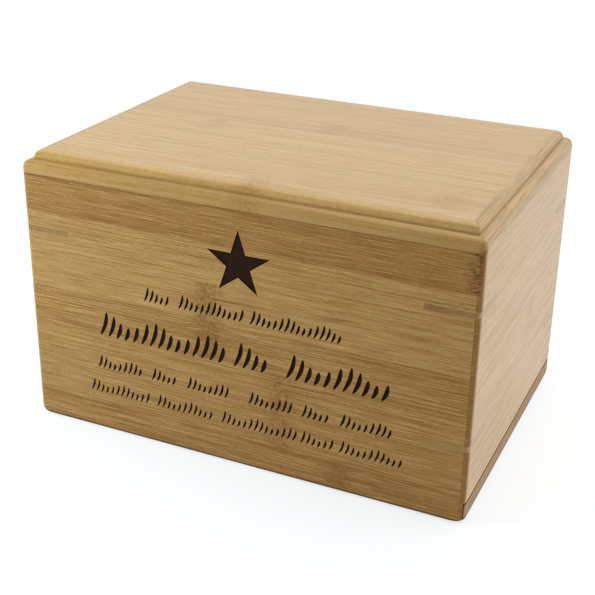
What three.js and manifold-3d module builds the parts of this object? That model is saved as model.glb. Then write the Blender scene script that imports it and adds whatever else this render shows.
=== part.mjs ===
// A bamboo cremation urn box with a moulded top, keyed mitred walls and a base that slides out.
// Millimetres, +Z up, origin on the floor under the middle of the box, front towards -Y.

import * as THREE from 'three';
import { mergeVertices } from 'three/addons/utils/BufferGeometryUtils.js';
import Module from 'manifold-3d';

const wasm = await Module();
wasm.setup();

// Box
const WIDTH = 254;
const DEPTH = 176.5;
const HEIGHT = 158;
const WALL = 16;
const CORNER_RADIUS = 3.2;
const BOTTOM_EASE = 2.5;
const CORNER_EASE = 5;
const GLUE_GAP = 0.3;

// Top panel: a lower round flush with the walls, a narrow ledge, a quirk and an upper round
const TOP_THICKNESS = 11.6;
const LOWER_ROUND = 4.6;
const LEDGE = 0.3;
const QUIRK = 0.5;
const UPPER_ROUND = 4.2;

// Sliding base
const BOARD_THICKNESS = 6;
const BOARD_TOP = 11.2;
const GROOVE_DEPTH = 6;
const SLIDE_GAP = 0.4;
const STRIP_FOOT = 0.3;
const STRIP_END_GAP = 0.7;
const STRIP_RABBET = 6;

// Corner keys
const KEY_THICKNESS = 3.1;
const KEY_LEG = 27.5;
const KEY_HEIGHTS = { lower: 43.5, upper: 115.5 };

// Engraving on the front
const ENGRAVING_DEPTH = 0.6;
const STAR = { x: 2, z: 117.6, radius: 18.5, points: 5 };
const STAR_WAIST = Math.sin(Math.PI / 10) / Math.sin((3 * Math.PI) / 10);
const STROKE_LEAN = 0.3;
const STROKE_BOW = 0.08;
const STROKE_STEPS = 4;
// The heads of the strokes fall and rise in an even wave: its length in strokes, and how deep it dips
const STROKE_WAVE = 6;
const STROKE_DIP = 0.45;
// Each row: foot line, full height, stroke width, spacing, and its groups as left and right ends
const STROKE_ROWS = [
  { foot: 85.8, height: 8.7, width: 1.5, spacing: 3.2, groups: [[-54.6, -37.8], [-33.7, 3], [7.9, 57]] },
  { foot: 59.5, height: 15, width: 2.5, spacing: 5.2, groups: [[-83.8, -4.6], [-2, 19.5], [27.9, 85]] },
  {
    foot: 39.2, height: 8.2, width: 1.4, spacing: 3.2,
    groups: [[-85.8, -57], [-51.7, -36.3], [-29.7, -5.5], [7, 32], [37.4, 52.8], [58.7, 85.7]],
  },
  {
    foot: 23.7, height: 8, width: 1.3, spacing: 3.2,
    groups: [[-91.3, -52.2], [-48.8, -13], [-9.2, 33.7], [37, 55.3], [58.7, 93.7]],
  },
];

// Sizes that follow
const SEAM = HEIGHT - TOP_THICKNESS;
const WALL_TOP = SEAM - GLUE_GAP;
const INNER_X = WIDTH / 2 - WALL;
const INNER_Y = DEPTH / 2 - WALL;
const BOARD_BOTTOM = BOARD_TOP - BOARD_THICKNESS;
const RIGHT_WALL_FOOT = BOARD_TOP + SLIDE_GAP;
const BEYOND = 2;
const ROUND_SEGMENTS = 4;
const FRONT_FACE = -DEPTH / 2;

const FINISHES = {
  caramel: { color: 0xa87f4c, roughness: 0.5, metalness: 0 },
  straw: { color: 0xcdb184, roughness: 0.48, metalness: 0 },
  edge: { color: 0xb08c66, roughness: 0.55, metalness: 0 },
  key: { color: 0x8e7150, roughness: 0.55, metalness: 0 },
};

// Turns a closed three.js geometry into a solid that can be joined and cut
function solid(geometry) {
  const bare = geometry.index ? geometry.clone() : geometry;
  bare.deleteAttribute('normal');
  bare.deleteAttribute('uv');
  const merged = mergeVertices(bare, 1e-4);
  return new wasm.Manifold(
    new wasm.Mesh({
      numProp: 3,
      vertProperties: Float32Array.from(merged.attributes.position.array),
      triVerts: Uint32Array.from(merged.index.array),
    }),
  );
}

// A named piece of the box, in its finish
function piece(name, body, finish) {
  const { vertProperties, triVerts } = body.getMesh();
  const geometry = new THREE.BufferGeometry();
  geometry.setAttribute('position', new THREE.BufferAttribute(vertProperties, 3));
  geometry.setIndex(new THREE.BufferAttribute(triVerts, 1));
  geometry.computeVertexNormals();
  const mesh = new THREE.Mesh(geometry, new THREE.MeshStandardMaterial(FINISHES[finish]));
  mesh.name = name;
  return mesh;
}

// A plan shape raised from one height to another
function raised(shape, bottom, top) {
  const geometry = new THREE.ExtrudeGeometry(shape, {
    depth: top - bottom,
    bevelEnabled: false,
    curveSegments: ROUND_SEGMENTS,
  });
  return solid(geometry.translate(0, 0, bottom));
}

// An upright shape, drawn in X and Z, run along Y between two places
function alongY(shape, from, to) {
  const geometry = new THREE.ExtrudeGeometry(shape, {
    depth: to - from,
    bevelEnabled: false,
    curveSegments: ROUND_SEGMENTS,
  });
  return solid(geometry.rotateX(Math.PI / 2).translate(0, to, 0));
}

// A plain block between two corners
function block([x0, y0, z0], [x1, y1, z1]) {
  const geometry = new THREE.BoxGeometry(x1 - x0, y1 - y0, z1 - z0);
  return solid(geometry.translate((x0 + x1) / 2, (y0 + y1) / 2, (z0 + z1) / 2));
}

function polygon(points) {
  return new THREE.Shape(points.map(([x, y]) => new THREE.Vector2(x, y)));
}

// The outline of the box seen from above, with rounded corners
function planOutline() {
  const [x, y, r] = [WIDTH / 2 - CORNER_RADIUS, DEPTH / 2 - CORNER_RADIUS, CORNER_RADIUS];
  const shape = new THREE.Shape();
  shape.absarc(x, y, r, 0, Math.PI / 2);
  shape.absarc(-x, y, r, Math.PI / 2, Math.PI);
  shape.absarc(-x, -y, r, Math.PI, 1.5 * Math.PI);
  shape.absarc(x, -y, r, 1.5 * Math.PI, 2 * Math.PI);
  return shape;
}

// A section run round all four sides and, by its corner form, across the four rounded corners
function mouldedRound(section, cornerSection, bottom, top) {
  const reach = (WIDTH + DEPTH) / 2 / Math.SQRT2 - CORNER_RADIUS * (Math.SQRT2 - 1);
  const lengthways = alongY(section(WIDTH / 2), -DEPTH / 2 - BEYOND, DEPTH / 2 + BEYOND);
  const across = alongY(section(DEPTH / 2), -WIDTH / 2 - BEYOND, WIDTH / 2 + BEYOND);
  const diagonal = alongY(cornerSection(reach), -reach - BEYOND, reach + BEYOND);
  return raised(planOutline(), bottom, top)
    .intersect(lengthways)
    .intersect(across.rotate([0, 0, 90]))
    .intersect(diagonal.rotate([0, 0, 45]))
    .intersect(diagonal.rotate([0, 0, -45]));
}

// Section of the top panel: two rounds with a ledge and a quirk between them
function topSection(half) {
  const waist = HEIGHT - UPPER_ROUND - QUIRK;
  const inset = LOWER_ROUND + LEDGE;
  const shape = new THREE.Shape();
  shape.moveTo(-half, SEAM);
  shape.lineTo(half, SEAM);
  shape.absarc(half - LOWER_ROUND, waist - LOWER_ROUND, LOWER_ROUND, 0, Math.PI / 2);
  shape.lineTo(half - inset, waist);
  shape.absarc(half - inset - UPPER_ROUND, HEIGHT - UPPER_ROUND, UPPER_ROUND, 0, Math.PI / 2);
  shape.absarc(UPPER_ROUND + inset - half, HEIGHT - UPPER_ROUND, UPPER_ROUND, Math.PI / 2, Math.PI);
  shape.lineTo(inset - half, waist);
  shape.absarc(LOWER_ROUND - half, waist - LOWER_ROUND, LOWER_ROUND, Math.PI / 2, Math.PI);
  return shape;
}

// Section of the walls taken together: square above, eased along the bottom
function easedSection(half, ease) {
  const shape = new THREE.Shape();
  shape.absarc(ease - half, ease, ease, Math.PI, 1.5 * Math.PI);
  shape.absarc(half - ease, ease, ease, 1.5 * Math.PI, 2 * Math.PI);
  shape.lineTo(half, WALL_TOP);
  shape.lineTo(-half, WALL_TOP);
  return shape;
}

function wallSection(half) {
  return easedSection(half, BOTTOM_EASE);
}

// The bottom corners are rubbed rounder than the edges between them
function wallCornerSection(half) {
  return easedSection(half, CORNER_EASE);
}

// The room that one wall takes, between mitres that stop short of its neighbours by half the gap
const SIDES = {
  front: { length: WIDTH, reach: DEPTH / 2, turn: 0 },
  right: { length: DEPTH, reach: WIDTH / 2, turn: 90 },
  back: { length: WIDTH, reach: DEPTH / 2, turn: 180 },
  left: { length: DEPTH, reach: WIDTH / 2, turn: 270 },
};

function mitredRoom(side, gap, bottom, top) {
  const { length, reach, turn } = SIDES[side];
  const back = gap * Math.SQRT1_2;
  const outer = length / 2 + BEYOND - back;
  const inner = length / 2 - WALL - back;
  const shape = polygon([
    [-outer, -reach - BEYOND],
    [outer, -reach - BEYOND],
    [inner, WALL - reach],
    [-inner, WALL - reach],
  ]);
  return raised(shape, bottom, top).rotate([0, 0, turn]);
}

// A saw cut or a key across one corner: a triangle in plan, reaching in from both faces
const CORNERS = {
  front_left: [-1, -1],
  front_right: [1, -1],
  back_right: [1, 1],
  back_left: [-1, 1],
};

function cornerTriangle([sx, sy], height, leg, thickness) {
  const [x, y] = [WIDTH / 2 + BEYOND, DEPTH / 2 + BEYOND];
  const reach = leg + 2 * BEYOND;
  const corners = [[x, y], [x - reach, y], [x, y - reach]];
  const shape = polygon(corners.map(([px, py]) => [sx * px, sy * py]));
  return raised(shape, height - thickness / 2, height + thickness / 2);
}

// A plain star with one point up
function starShape({ x, z, radius, points }) {
  const corners = Array.from({ length: 2 * points }, (_, i) => {
    const angle = Math.PI / 2 + (i * Math.PI) / points;
    const reach = i % 2 ? radius * STAR_WAIST : radius;
    return [x + reach * Math.cos(angle), z + reach * Math.sin(angle)];
  });
  return polygon(corners);
}

// A leaning stroke, pointed at both ends and a little bowed, like a blade of grass
function strokeShape(x, foot, height, width) {
  const left = [];
  const right = [];
  for (let i = 0; i <= STROKE_STEPS; i += 1) {
    const t = i / STROKE_STEPS;
    const middle = x + height * (STROKE_LEAN * t + STROKE_BOW * Math.sin(Math.PI * t));
    const half = (width / 2) * Math.sqrt(Math.sin(Math.PI * t));
    right.push([middle + half, foot + height * t]);
    if (i > 0 && i < STROKE_STEPS) {
      left.unshift([middle - half, foot + height * t]);
    }
  }
  return polygon([...right, ...left]);
}

// A row of strokes: each group is filled from its left end at the row's spacing
function rowShapes({ foot, height, width, spacing, groups }) {
  return groups.flatMap(([start, end]) => {
    const count = Math.round((end - start - STROKE_LEAN * height) / spacing) + 1;
    return Array.from({ length: count }, (_, i) => {
      const dip = (STROKE_DIP / 2) * (1 - Math.cos((2 * Math.PI * i) / STROKE_WAVE));
      return strokeShape(start + width / 2 + i * spacing, foot, height * (1 - dip), width);
    });
  });
}

function engraving() {
  const shapes = [starShape(STAR), ...STROKE_ROWS.flatMap(rowShapes)];
  const cuts = shapes.map((shape) => alongY(shape, FRONT_FACE - BEYOND, FRONT_FACE + ENGRAVING_DEPTH));
  return cuts.reduce((joined, cut) => joined.add(cut));
}

// The base board with a running clearance all round: what the grooves are cut to
function boardBlock(clearance) {
  const x = INNER_X + GROOVE_DEPTH - SLIDE_GAP + clearance;
  const y = INNER_Y + GROOVE_DEPTH - SLIDE_GAP + clearance;
  const end = INNER_X + STRIP_RABBET - GLUE_GAP + clearance;
  return block([-x, -y, BOARD_BOTTOM - clearance], [end, y, BOARD_TOP + clearance]);
}

// The walls as one frame, with the grooves and the saw cuts, before the mitres part them
const outside = mouldedRound(wallSection, wallCornerSection, 0, WALL_TOP);
const hollow = block([-INNER_X, -INNER_Y, -BEYOND], [INNER_X, INNER_Y, HEIGHT]);
const keyOutline = raised(planOutline(), 0, HEIGHT);
let frame = outside.subtract(hollow).subtract(boardBlock(SLIDE_GAP));
const keys = [];
for (const [corner, signs] of Object.entries(CORNERS)) {
  for (const [level, height] of Object.entries(KEY_HEIGHTS)) {
    const key = cornerTriangle(signs, height, KEY_LEG, KEY_THICKNESS).intersect(keyOutline);
    const cut = cornerTriangle(signs, height, KEY_LEG + GLUE_GAP * Math.SQRT2, KEY_THICKNESS + 2 * GLUE_GAP);
    frame = frame.subtract(cut);
    keys.push(piece(`corner_key_${corner}_${level}`, key, 'key'));
  }
}

function wall(side, foot = 0) {
  return frame.intersect(mitredRoom(side, GLUE_GAP, foot, WALL_TOP));
}

const endStrip = outside
  .intersect(mitredRoom('right', 2 * STRIP_END_GAP - GLUE_GAP, STRIP_FOOT, BOARD_TOP))
  .subtract(boardBlock(GLUE_GAP));

const box = new THREE.Group();
box.name = 'box';
box.add(piece('top_panel', mouldedRound(topSection, topSection, SEAM, HEIGHT), 'straw'));
box.add(piece('front_panel', wall('front').subtract(engraving()), 'caramel'));
box.add(piece('back_panel', wall('back'), 'caramel'));
box.add(piece('left_panel', wall('left'), 'straw'));
box.add(piece('right_panel', wall('right', RIGHT_WALL_FOOT), 'straw'));
box.add(...keys);

const base = new THREE.Group();
base.name = 'base';
base.add(piece('base_board', boardBlock(0), 'straw'));
base.add(piece('base_end_strip', endStrip, 'edge'));

const urn = new THREE.Group();
urn.name = 'urn';
urn.add(box, base);

export default urn;
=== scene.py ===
# %% [markdown]
# # A bamboo box urn, dressed for its picture
# The box is a small piece of joinery: a moulded top board, four mitred walls held at the corners by
# thin keys, an engraved front, and a base that slides out at the right-hand end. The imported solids
# give every size and place. Here each piece is made again as a finer mesh in the same place, with
# smooth rounds and hairline joints, and gets a bamboo finish made of nodes.

# %% The frame, and the tools used all along
from math import cos, pi, radians, sin, sqrt
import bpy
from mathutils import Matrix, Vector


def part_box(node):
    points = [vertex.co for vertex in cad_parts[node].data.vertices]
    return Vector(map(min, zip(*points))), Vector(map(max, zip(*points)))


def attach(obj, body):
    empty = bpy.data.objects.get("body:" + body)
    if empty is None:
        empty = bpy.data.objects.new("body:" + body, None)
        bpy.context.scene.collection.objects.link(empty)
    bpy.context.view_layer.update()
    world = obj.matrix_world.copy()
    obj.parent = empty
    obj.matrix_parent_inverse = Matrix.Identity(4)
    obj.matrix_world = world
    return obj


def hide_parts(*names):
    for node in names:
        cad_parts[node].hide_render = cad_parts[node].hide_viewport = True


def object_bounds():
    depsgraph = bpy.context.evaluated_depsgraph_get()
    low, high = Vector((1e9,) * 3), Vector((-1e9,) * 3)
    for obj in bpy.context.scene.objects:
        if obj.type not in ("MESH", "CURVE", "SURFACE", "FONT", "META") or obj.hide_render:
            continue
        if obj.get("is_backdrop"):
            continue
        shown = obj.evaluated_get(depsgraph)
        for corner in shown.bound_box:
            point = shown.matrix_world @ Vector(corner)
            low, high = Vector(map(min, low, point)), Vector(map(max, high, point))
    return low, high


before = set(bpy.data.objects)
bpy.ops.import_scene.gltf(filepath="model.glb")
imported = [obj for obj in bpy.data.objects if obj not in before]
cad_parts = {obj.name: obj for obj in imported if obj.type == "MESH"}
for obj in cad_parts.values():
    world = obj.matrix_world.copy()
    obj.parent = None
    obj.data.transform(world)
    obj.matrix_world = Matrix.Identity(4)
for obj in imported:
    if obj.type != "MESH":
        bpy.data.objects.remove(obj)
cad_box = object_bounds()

from types import SimpleNamespace

import bmesh
import bpy
from mathutils import Matrix, Vector

MM = 0.001
scene = bpy.context.scene

# %% [markdown]
# ## Sizes
# A maker takes sizes from the piece on the bench, so the overall ones are read from the solids.
# Only small forms that a bounding box can't tell, such as the radius of a round, are written down
# here, in millimetres turned into metres.

# %% Sizes read from the solids, and the small ones that belong to the mouldings
half_x, half_y = cad_box[1].x, cad_box[1].y
height = cad_box[1].z
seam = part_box("top_panel")[0].z
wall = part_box("front_panel")[1].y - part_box("front_panel")[0].y
inner_x, inner_y = half_x - wall, half_y - wall
right_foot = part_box("right_panel")[0].z
board_low, board_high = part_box("base_board")
strip_low, strip_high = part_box("base_end_strip")

CORNER_RADIUS = 3.2 * MM
LOWER_ROUND = 4.6 * MM
LEDGE = 0.3 * MM
QUIRK = 0.5 * MM
UPPER_ROUND = 4.2 * MM
HAIRLINE = 0.03 * MM
ARC_STEPS = 8
CORNER_SIGNS = ((1, 1), (-1, 1), (-1, -1), (1, -1))
waist = height - UPPER_ROUND - QUIRK
print(f"box {2 * half_x / MM:.1f} x {2 * half_y / MM:.1f} x {height / MM:.1f} mm, walls {wall / MM:.1f} mm")

# %% [markdown]
# ## Shader maths in plain sums
# A finish is a chain of small sums on the place of each point: which strip am I in, how dark is the
# fibre here. Drawn as boxes and links, such sums are hard to read. One small class wraps a socket,
# so that `1 - tone` or `grain * 0.5` adds the Math node it stands for, and every other node comes
# from its method `node`, which takes the type, the settings and the values of the sockets.


# %% One class for all shader nodes
def forwards(operation):
    """A sum with the wire in front, as in tone - 1."""
    return lambda wire, other: wire.math(operation, wire, other)


def reflected(operation):
    """A sum with the wire behind, as in 1 - tone."""
    return lambda wire, other: wire.math(operation, other, wire)


class Wire:
    """One output of a finish's nodes; sums on it add Math nodes."""

    def __init__(self, tree, socket=None):
        self.tree = tree
        self.socket = socket

    def node(self, kind, settings, sockets, output=0):
        made = self.tree.nodes.new(kind)
        for name, value in settings.items():
            if name == "ramp":
                lay_ramp(made.color_ramp, *value)
            else:
                setattr(made, name, value)
        for key, value in sockets.items():
            if isinstance(value, Wire):
                self.tree.links.new(value.socket, made.inputs[key])
            else:
                made.inputs[key].default_value = value
        return Wire(self.tree, made.outputs[output] if made.outputs else None)

    def beside(self, output):
        """Another output of the same node."""
        return Wire(self.tree, self.socket.node.outputs[output])

    def math(self, operation, *values):
        return self.node("ShaderNodeMath", {"operation": operation}, dict(enumerate(values)))

    __add__, __radd__ = forwards("ADD"), reflected("ADD")
    __sub__, __rsub__ = forwards("SUBTRACT"), reflected("SUBTRACT")
    __mul__, __rmul__ = forwards("MULTIPLY"), reflected("MULTIPLY")
    __truediv__, __rtruediv__ = forwards("DIVIDE"), reflected("DIVIDE")

    def __abs__(self):
        return self.math("ABSOLUTE", self)

    def floor(self):
        return self.math("FLOOR", self)

    def ease(self, start, end):
        """0 before start, 1 after end, with a soft step between them."""
        values = {"Value": self, "From Min": start, "From Max": end}
        return self.node("ShaderNodeMapRange", {"interpolation_type": "SMOOTHSTEP"}, values)

    def bell(self, width):
        """1 where the value is nought, falling off to either side over the width."""
        return self.math("EXPONENT", self * self * (-1 / width**2))


def lay_ramp(ramp, interpolation, stops):
    """Sets a colour ramp's stops, each a place and a colour."""
    ramp.interpolation = interpolation
    while len(ramp.elements) < len(stops):
        ramp.elements.new(1.0)
    for element, (place, colour) in zip(ramp.elements, stops):
        element.position = place
        element.color = colour


print("shader sums are ready")

# %% [markdown]
# ## What every finish needs
# Every finish mixes colours, and uses soft noise for all that grows unevenly in wood. It starts from
# a point's place on its piece, in millimetres as a maker counts, and ends in one shader.

# %% Mixes, noise, and the start and end of a finish
AXES = "XYZ"
# The mix node keeps its sockets for colours at these places
FIRST_COLOUR, SECOND_COLOUR, MIXED_COLOUR = 6, 7, 2


def blend(factor, first, second):
    """A mix of two colours, each a wire or three numbers."""
    first, second = [side if isinstance(side, Wire) else (*side, 1.0) for side in (first, second)]
    sockets = {0: factor, FIRST_COLOUR: first, SECOND_COLOUR: second}
    return factor.node("ShaderNodeMix", {"data_type": "RGBA"}, sockets, MIXED_COLOUR)


def noise(x, y, z, detail=2.0):
    """Soft noise from 0 to 1 about a half, one lump to each unit of the three values."""
    place = x.node("ShaderNodeCombineXYZ", {}, {0: x, 1: y, 2: z})
    return x.node("ShaderNodeTexNoise", {}, {"Vector": place, "Scale": 1.0, "Detail": detail})


def begin_finish(name):
    """A new material, and the three coordinates of a point in millimetres."""
    material = bpy.data.materials.new(name)
    material.use_nodes = True
    material.node_tree.nodes.clear()
    start = Wire(material.node_tree)
    place = start.node("ShaderNodeTexCoord", {}, {}, "Object")
    split = place.node("ShaderNodeSeparateXYZ", {}, {0: place})
    return material, [split.beside(axis) * (1 / MM) for axis in AXES]


def relief(height, bump):
    """Raises the surface where the value is high."""
    return height.node("ShaderNodeBump", {}, {**bump, "Height": height})


def end_finish(start, sockets):
    """Puts the shader's sockets on and joins it to the material's output."""
    shader = start.node("ShaderNodeBsdfPrincipled", {}, sockets)
    start.node("ShaderNodeOutputMaterial", {}, {"Surface": shader})


print("a finish counts in units of", MM, "m")

# %% [markdown]
# ## The camera
# The picture was taken from a little above, with the right-hand end in sight. The place, the two
# angles, the slight roll and the lens were found by fitting the box's own edges, so they belong
# together. The shift is that of a picture cut a little off the middle of its lens.

# %% The camera at the picture's place
CAMERA_PLACE = (247.13 * MM, -559.14 * MM, 347.56 * MM)
AZIMUTH, ELEVATION, ROLL = radians(24.507), radians(24.008), radians(0.794)
SENSOR_WIDTH, LENS = 36.0, 70.22
SHIFT = (0.0069, -0.0346)


def camera_turn(azimuth, elevation, roll):
    """The camera's axes: X to the right, Y up, Z towards the photographer."""
    back = Vector((sin(azimuth) * cos(elevation), -cos(azimuth) * cos(elevation), sin(elevation)))
    right = Vector((cos(azimuth), sin(azimuth), 0.0))
    unrolled = Matrix((right, back.cross(right), back)).transposed()
    return unrolled @ Matrix.Rotation(roll, 3, "Z")


lens = bpy.data.cameras.new("picture_camera")
lens.sensor_width = SENSOR_WIDTH
lens.lens = LENS
lens.shift_x, lens.shift_y = SHIFT
camera = bpy.data.objects.new("picture_camera", lens)
camera.matrix_world = Matrix.Translation(CAMERA_PLACE) @ camera_turn(AZIMUTH, ELEVATION, ROLL).to_4x4()
scene.collection.objects.link(camera)
scene.camera = camera
print(f"camera {camera.location.length:.3f} m from the middle of the box's foot")

# %% [markdown]
# ## Light
# The box stood in a light tent: white behind, above and at the sides, and open in front, where the
# photographer stands. So the top and the right-hand end carry a pale sheen and the front is darker.
# A world whose light depends on the direction gives that at once. One soft lamp to the left makes
# the front brighter on that side. It stays out of reflections, where it would be a hard white patch
# on the lacquer. The denoiser's guides go unfiltered, which keeps fine fibres sharp.

# %% A light tent and one soft lamp
WHITE = (1.0, 1.0, 1.0)
TENT_BACK, TENT_FRONT = 1.4, 0.1
TENT_LEAN, TENT_FADE = {"X": 0.3, "Y": 0.8, "Z": 0.5}, (-0.2, 0.6)
LAMP_PLACE, LAMP_AIM = Vector((-0.42, -0.32, 0.26)), Vector((-0.12, -0.09, 0.09))
LAMP_SIZE, LAMP_POWER, LAMP_COLOUR = 0.3, 1.85, (0.8, 0.92, 1.0)

tent = bpy.data.worlds.new("light_tent")
tent.use_nodes = True
tent.node_tree.nodes.clear()
sky = Wire(tent.node_tree)
towards = sky.node("ShaderNodeTexCoord", {}, {}, "Generated")
direction = sky.node("ShaderNodeSeparateXYZ", {}, {0: towards})
backwards = sum(direction.beside(axis) * lean for axis, lean in TENT_LEAN.items())
tent_light = TENT_FRONT + backwards.ease(*TENT_FADE) * (TENT_BACK - TENT_FRONT)
background = sky.node("ShaderNodeBackground", {}, {"Color": (*WHITE, 1.0), "Strength": tent_light})
sky.node("ShaderNodeOutputWorld", {}, {"Surface": background})
scene.world = tent
scene.view_settings.view_transform = "Standard"
scene.cycles.denoising_prefilter = "NONE"

lamp = bpy.data.lights.new("soft_lamp", "AREA")
lamp.size = LAMP_SIZE
lamp.energy = LAMP_POWER
lamp.color = LAMP_COLOUR
lamp_stand = bpy.data.objects.new("soft_lamp", lamp)
lamp_stand.location = LAMP_PLACE
lamp_stand.rotation_euler = (LAMP_AIM - LAMP_PLACE).to_track_quat("-Z", "Y").to_euler()
lamp_stand.visible_camera = False
lamp_stand.visible_glossy = False
scene.collection.objects.link(lamp_stand)
print(f"tent from {TENT_FRONT} in front to {TENT_BACK} behind, and a lamp of {LAMP_POWER} W")

# %% [markdown]
# ## Floor and backdrop
# The floor is white paper that glows a little, as paper on a lit table does, which keeps the shadow
# under the box faint. A ring of white cloth far behind it is seen by the camera alone, so that the
# picture has a plain background from any side. Neither belongs to the box, so both are stage.

# %% A paper floor and a cloth backdrop
FLOOR_REACH, FLOOR_DROP = 10.0, 0.2 * MM
PAPER_SHADED, PAPER_LIT = (0.31, 0.335, 0.355), (0.34, 0.365, 0.385)
PAPER_TOOTH, PAPER_ROUGH, PAPER_GLOSS, PAPER_GLOW = 2.0, 0.85, 0.1, 0.72
CLOTH_RADIUS, CLOTH_HEIGHT, CLOTH_FOLDS = 9.0, 9.0, 64
CLOTH_GREY, CLOTH_DIM = (0.8, 0.8, 0.8), (0.98, 0.98, 0.98)
CLOTH_LUMP, CLOTH_ROUGH, CLOTH_GLOW = 200.0, 0.9, 1.0
UNEVEN = 0.1


def paper():
    """White paper with a faint tooth."""
    material, (x, y, z) = begin_finish("floor_paper")
    tooth = noise(x / PAPER_TOOTH, y / PAPER_TOOTH, z, detail=4.0)
    white = blend(tooth, PAPER_SHADED, PAPER_LIT)
    rough = PAPER_ROUGH + tooth * UNEVEN
    glow = {"Emission Color": (*WHITE, 1.0), "Emission Strength": PAPER_GLOW}
    end_finish(x, {"Base Color": white, "Roughness": rough, "Specular IOR Level": PAPER_GLOSS, **glow})
    return material


def cloth():
    """White cloth, lit from behind."""
    material, (x, y, z) = begin_finish("backdrop_cloth")
    weave = noise(x / CLOTH_LUMP, y / CLOTH_LUMP, z / CLOTH_LUMP)
    rough = CLOTH_ROUGH + weave * UNEVEN
    glow = {"Emission Color": blend(weave, CLOTH_DIM, WHITE), "Emission Strength": CLOTH_GLOW}
    end_finish(x, {"Base Color": (*CLOTH_GREY, 1.0), "Roughness": rough, **glow})
    return material


def new_piece(name, mesh, finish):
    """An object in the scene from a finished mesh."""
    mesh.materials.append(finish)
    piece = bpy.data.objects.new(name, mesh)
    scene.collection.objects.link(piece)
    return piece


def mesh_from(name, points, faces):
    """A mesh from its points and the faces between them."""
    mesh = bpy.data.meshes.new(name)
    mesh.from_pydata(points, [], faces)
    return mesh


def hide_from_light(piece):
    """Keeps a piece in the camera's sight, but out of the light."""
    for kind in ("diffuse", "glossy", "transmission", "shadow"):
        setattr(piece, f"visible_{kind}", False)


cloth_points, cloth_faces = [], []
for i in range(CLOTH_FOLDS):
    turn = 2 * pi * i / CLOTH_FOLDS
    x, y = CLOTH_RADIUS * cos(turn), CLOTH_RADIUS * sin(turn)
    cloth_points += [(x, y, -FLOOR_DROP), (x, y, CLOTH_HEIGHT)]
    low, next_low = 2 * i, 2 * (i + 1) % (2 * CLOTH_FOLDS)
    cloth_faces.append((low, low + 1, next_low + 1, next_low))
backdrop = new_piece("backdrop", mesh_from("backdrop", cloth_points, cloth_faces), cloth())
hide_from_light(backdrop)
backdrop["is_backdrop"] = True

floor_points = [(sx * FLOOR_REACH, sy * FLOOR_REACH, -FLOOR_DROP) for sx, sy in CORNER_SIGNS]
new_piece("floor", mesh_from("floor", floor_points, [(0, 1, 2, 3)]), paper())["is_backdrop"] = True
print(f"floor {2 * FLOOR_REACH:.0f} m wide, backdrop of {CLOTH_FOLDS} folds")

# %% [markdown]
# ## Bamboo: strips
# Bamboo board is pressed from strips about a finger wide, each split from another stem. So a board
# is a row of bands, and each band has its own tone and, here and there, a knuckle, the ring that a
# stem has at a joint. A picture could show all this, but nodes stay sharp at any size and run through
# the thickness. A colour ramp with hard steps serves as the board's card: for each strip it holds the
# tone, the blush, the place of the knuckle and how strong that knuckle is.

# %% Where a point lies on its board
# A knuckle is its place, from 0 at one end of the board to 1 at the other, and its strength
NO_KNUCKLE = (0.5, 0.0)
STEM_STEP = 17.3


def strip_card(across, edge, pitch, strips):
    """What the board's strips are like, lowest first: tone, blush, knuckle's place and strength."""
    count = len(strips)
    stops = [(i / count, (tone, blush, *knuckle)) for i, (tone, blush, knuckle) in enumerate(strips)]
    ramp = {"ramp": ("CONSTANT", stops)}
    card = across.node("ShaderNodeValToRGB", ramp, {"Fac": (across - edge) / (pitch * count)}, "Color")
    split = card.node("ShaderNodeSeparateColor", {}, {0: card})
    return split, split.beside("Green"), split.beside("Blue"), card.beside("Alpha")


def on_board(places, along, across, reach, edge, pitch, strips):
    """A point's place along, across and through its board, and what its strip is like there."""
    at = SimpleNamespace(reach=reach, z=places[2])
    at.along, at.across = places[AXES.index(along)], places[AXES.index(across)]
    (at.through,) = [place for axis, place in zip(AXES, places) if axis not in (along, across)]
    at.tone, at.blush, knuckle, at.strength = strip_card(at.across, edge, pitch, strips)
    row = ((at.across - edge) / pitch).floor()
    at.stem = row * STEM_STEP
    at.in_strip = (at.across - edge) / pitch - row
    at.from_knuckle = at.along - (knuckle * 2.0 - 1.0) * reach
    at.from_end = abs(at.along) - reach
    return at


print("a strip without a knuckle has the card end", NO_KNUCKLE)

# %% [markdown]
# ## Bamboo: fibres and knuckles
# Along a strip run long fibres, shorter ones, and pores that show as fine dashes. Noise stretched
# along the strip gives all three, with one lump to each length. The fibres waver a little. Beside a
# knuckle they swerve, in it they break up into a mottle, and a dark vein may run on from it.

# %% Fibres and knuckles, all as shares of dark about nought
# Length in mm, how much finer than the look's fibre, a shift that keeps the three apart, and detail
LONG_FIBRE = (110.0, 1.0, 0.0, 1.0)
SHORT_FIBRE = (22.0, 1.1, 5.0, 1.0)
PORE = (2.6, 1.2, 11.0, 0.0)
WAVER, WAVER_LENGTH, WAVER_WIDTH = 2.0, 45.0, 14.0
SWERVE, SWERVE_REACH = 5.0, 16.0
KNUCKLE_HALF, KNUCKLE_RAGGED, RAG_LENGTH, RAG_WIDTH = 7.0, 14.0, 8.0, 3.4
KNUCKLE_DARK, MOTTLE_DARK, MOTTLE_LENGTH, MOTTLE_WIDTH = 0.22, 2.2, 1.8, 1.4
VEIN_PLACE, VEIN_WIDTH, VEIN_SWAY, VEIN_DARK = 0.64, 0.025, 0.5, 0.5
VEIN_START, VEIN_END = (0.0, 6.0), (20.0, 48.0)


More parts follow.
